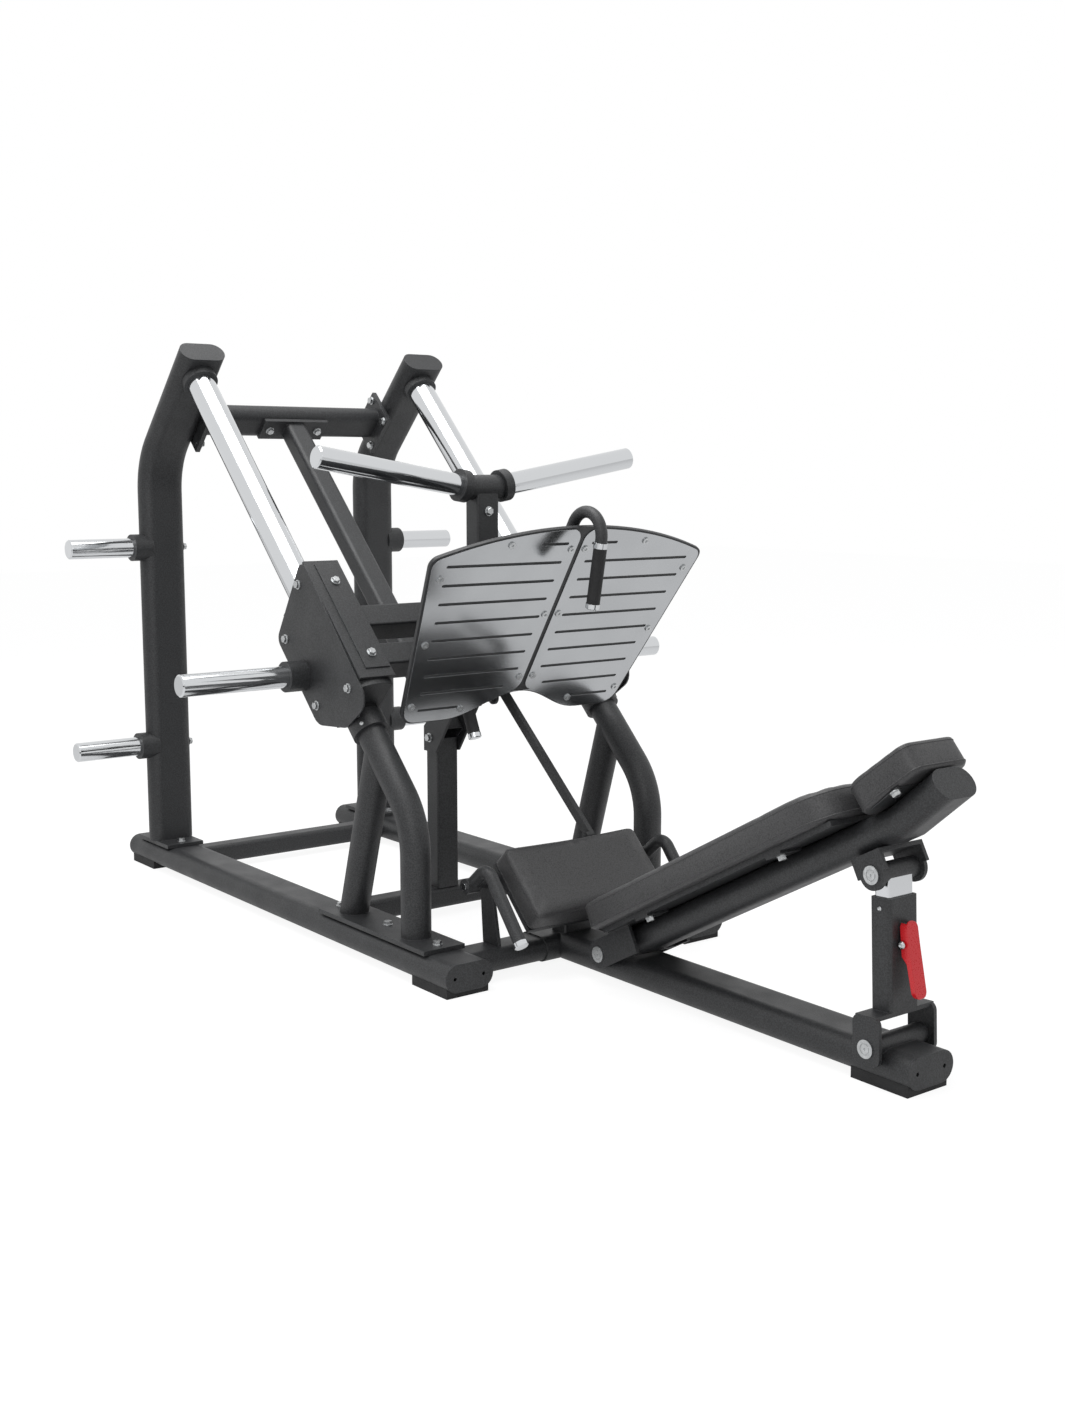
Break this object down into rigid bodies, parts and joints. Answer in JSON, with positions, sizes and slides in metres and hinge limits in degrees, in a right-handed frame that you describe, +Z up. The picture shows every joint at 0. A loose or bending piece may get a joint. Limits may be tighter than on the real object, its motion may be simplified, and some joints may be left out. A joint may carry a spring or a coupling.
{
  "type": "leg press machine",
  "caption": "Plate-loaded angled leg press: guide rods, sliding carriage with split slotted foot plate and weight horns, padded seat and a hinged back rest on an adjustable strut.",
  "frame": {"origin": "middle of the bounding box on the floor, with the machine's plane of symmetry at Y = 0", "axes": "+X from the weight uprights towards the head end of the back rest, +Y to the user's right when lying on it, +Z up"},
  "size_m": [2.5264, 1.37, 1.3889],
  "materials": {
    "powder_coat": "fine-textured satin black powder coat",
    "chrome": "polished",
    "stainless": "polished stainless sheet",
    "zinc": "zinc plated",
    "rubber": "matte",
    "leather": "grained black synthetic leather",
    "red_coat": "gloss red"
  },
  "bodies": {
    "frame": {"side_rail_left": "powder_coat", "side_rail_right": "powder_coat", "rear_cross_beam": "powder_coat", "middle_cross_beam": "powder_coat", "front_cross_beam": "powder_coat", "spine_beam": "powder_coat", "end_caps": "powder_coat", "rubber_feet": "rubber", "upright_left": "powder_coat", "upright_right": "powder_coat", "top_cross_beam": "powder_coat", "diagonal_beam": "powder_coat", "centre_post": "powder_coat", "guide_rod_left": "chrome", "guide_rod_right": "chrome", "rod_collars": "powder_coat", "leg_left": "powder_coat", "leg_right": "powder_coat", "frame_bolts": "zinc", "storage_horns": "chrome", "storage_collars": "powder_coat", "bumpers": "rubber", "stop_bracket": "powder_coat", "seat_frame": "powder_coat", "seat_pad": "leather", "hinge_pins": "zinc"},
    "carriage": {"side_plate_left": "powder_coat", "side_plate_right": "powder_coat", "inner_plates": "powder_coat", "front_covers": "powder_coat", "bearing_housings": "powder_coat", "rod_bearings": "zinc", "carriage_frame": "powder_coat", "foot_plate_backing": "powder_coat", "foot_plate_left": "stainless", "foot_plate_right": "stainless", "foot_plate_screws": "zinc", "side_horns": "chrome", "top_horns": "chrome", "horn_collars": "powder_coat", "horn_post": "powder_coat", "horn_hub": "powder_coat", "carriage_bolts": "zinc", "gooseneck_handle": "powder_coat", "hand_grips": "rubber", "grip_caps": "chrome"},
    "release_levers": {"release_levers": "powder_coat", "lever_caps": "chrome"},
    "link": {"link_bar": "powder_coat"},
    "stop": {"stop_arm": "powder_coat"},
    "back_rest": {"back_frame": "powder_coat", "back_pad": "leather", "head_pad": "leather", "pad_bolts": "zinc", "clevis_pin": "zinc"},
    "strut": {"strut_tube": "powder_coat"},
    "post": {"strut_post": "chrome", "post_sleeve": "powder_coat"},
    "red_lever": {"red_lever": "red_coat"},
    "lock_pin": {"lock_pin": "zinc"}
  },
  "joints": [
    {"name": "carriage_slide", "type": "slide", "parent": "frame", "child": "carriage", "axis": [-0.7071, 0, 0.7071], "range_m": [0, 0.6]},
    {"name": "back_rest_hinge", "type": "hinge", "parent": "frame", "child": "back_rest", "pos_m": [0.39681, 0, 0.068], "axis": [0, -1, 0], "range_deg": [0, 8]},
    {"name": "strut_hinge", "type": "hinge", "parent": "frame", "child": "strut", "pos_m": [1.13481, 0, 0.074], "axis": [0, -1, 0], "range_deg": [0, 6.39]},
    {"name": "post_slide", "type": "slide", "parent": "strut", "child": "post", "axis": [-0.0507, 0, 0.9987], "range_m": [0, 0.10253]},
    {"name": "red_lever_hinge", "type": "hinge", "parent": "strut", "child": "red_lever", "pos_m": [1.15859, 0, 0.25644], "axis": [0, 1, 0], "range_deg": [0, 8]},
    {"name": "lock_pin_slide", "type": "slide", "parent": "strut", "child": "lock_pin", "axis": [0.9987, 0, 0.0507], "range_m": [0, 0.0042]},
    {"name": "release_hinge", "type": "hinge", "parent": "frame", "child": "release_levers", "pos_m": [0.17781, 0, 0.199], "axis": [0, -1, 0], "range_deg": [0, 25]},
    {"name": "link_hinge", "type": "hinge", "parent": "release_levers", "child": "link", "pos_m": [0.15493, 0.1, 0.2577], "axis": [0, -1, 0], "range_deg": [-25, 0]},
    {"name": "stop_hinge", "type": "hinge", "parent": "frame", "child": "stop", "pos_m": [-0.20058, 0, 0.53495], "axis": [0, -1, 0], "range_deg": [0, 25]}
  ],
  "couplings": [
    {"joint": "strut_hinge", "follows": "back_rest_hinge", "ratio": 0.7978},
    {"joint": "post_slide", "follows": "back_rest_hinge", "m_per_rad": 0.73394},
    {"joint": "lock_pin_slide", "follows": "red_lever_hinge", "m_per_rad": 0.03},
    {"joint": "link_hinge", "follows": "release_hinge", "ratio": -1},
    {"joint": "stop_hinge", "follows": "release_hinge", "ratio": 1}
  ]
}
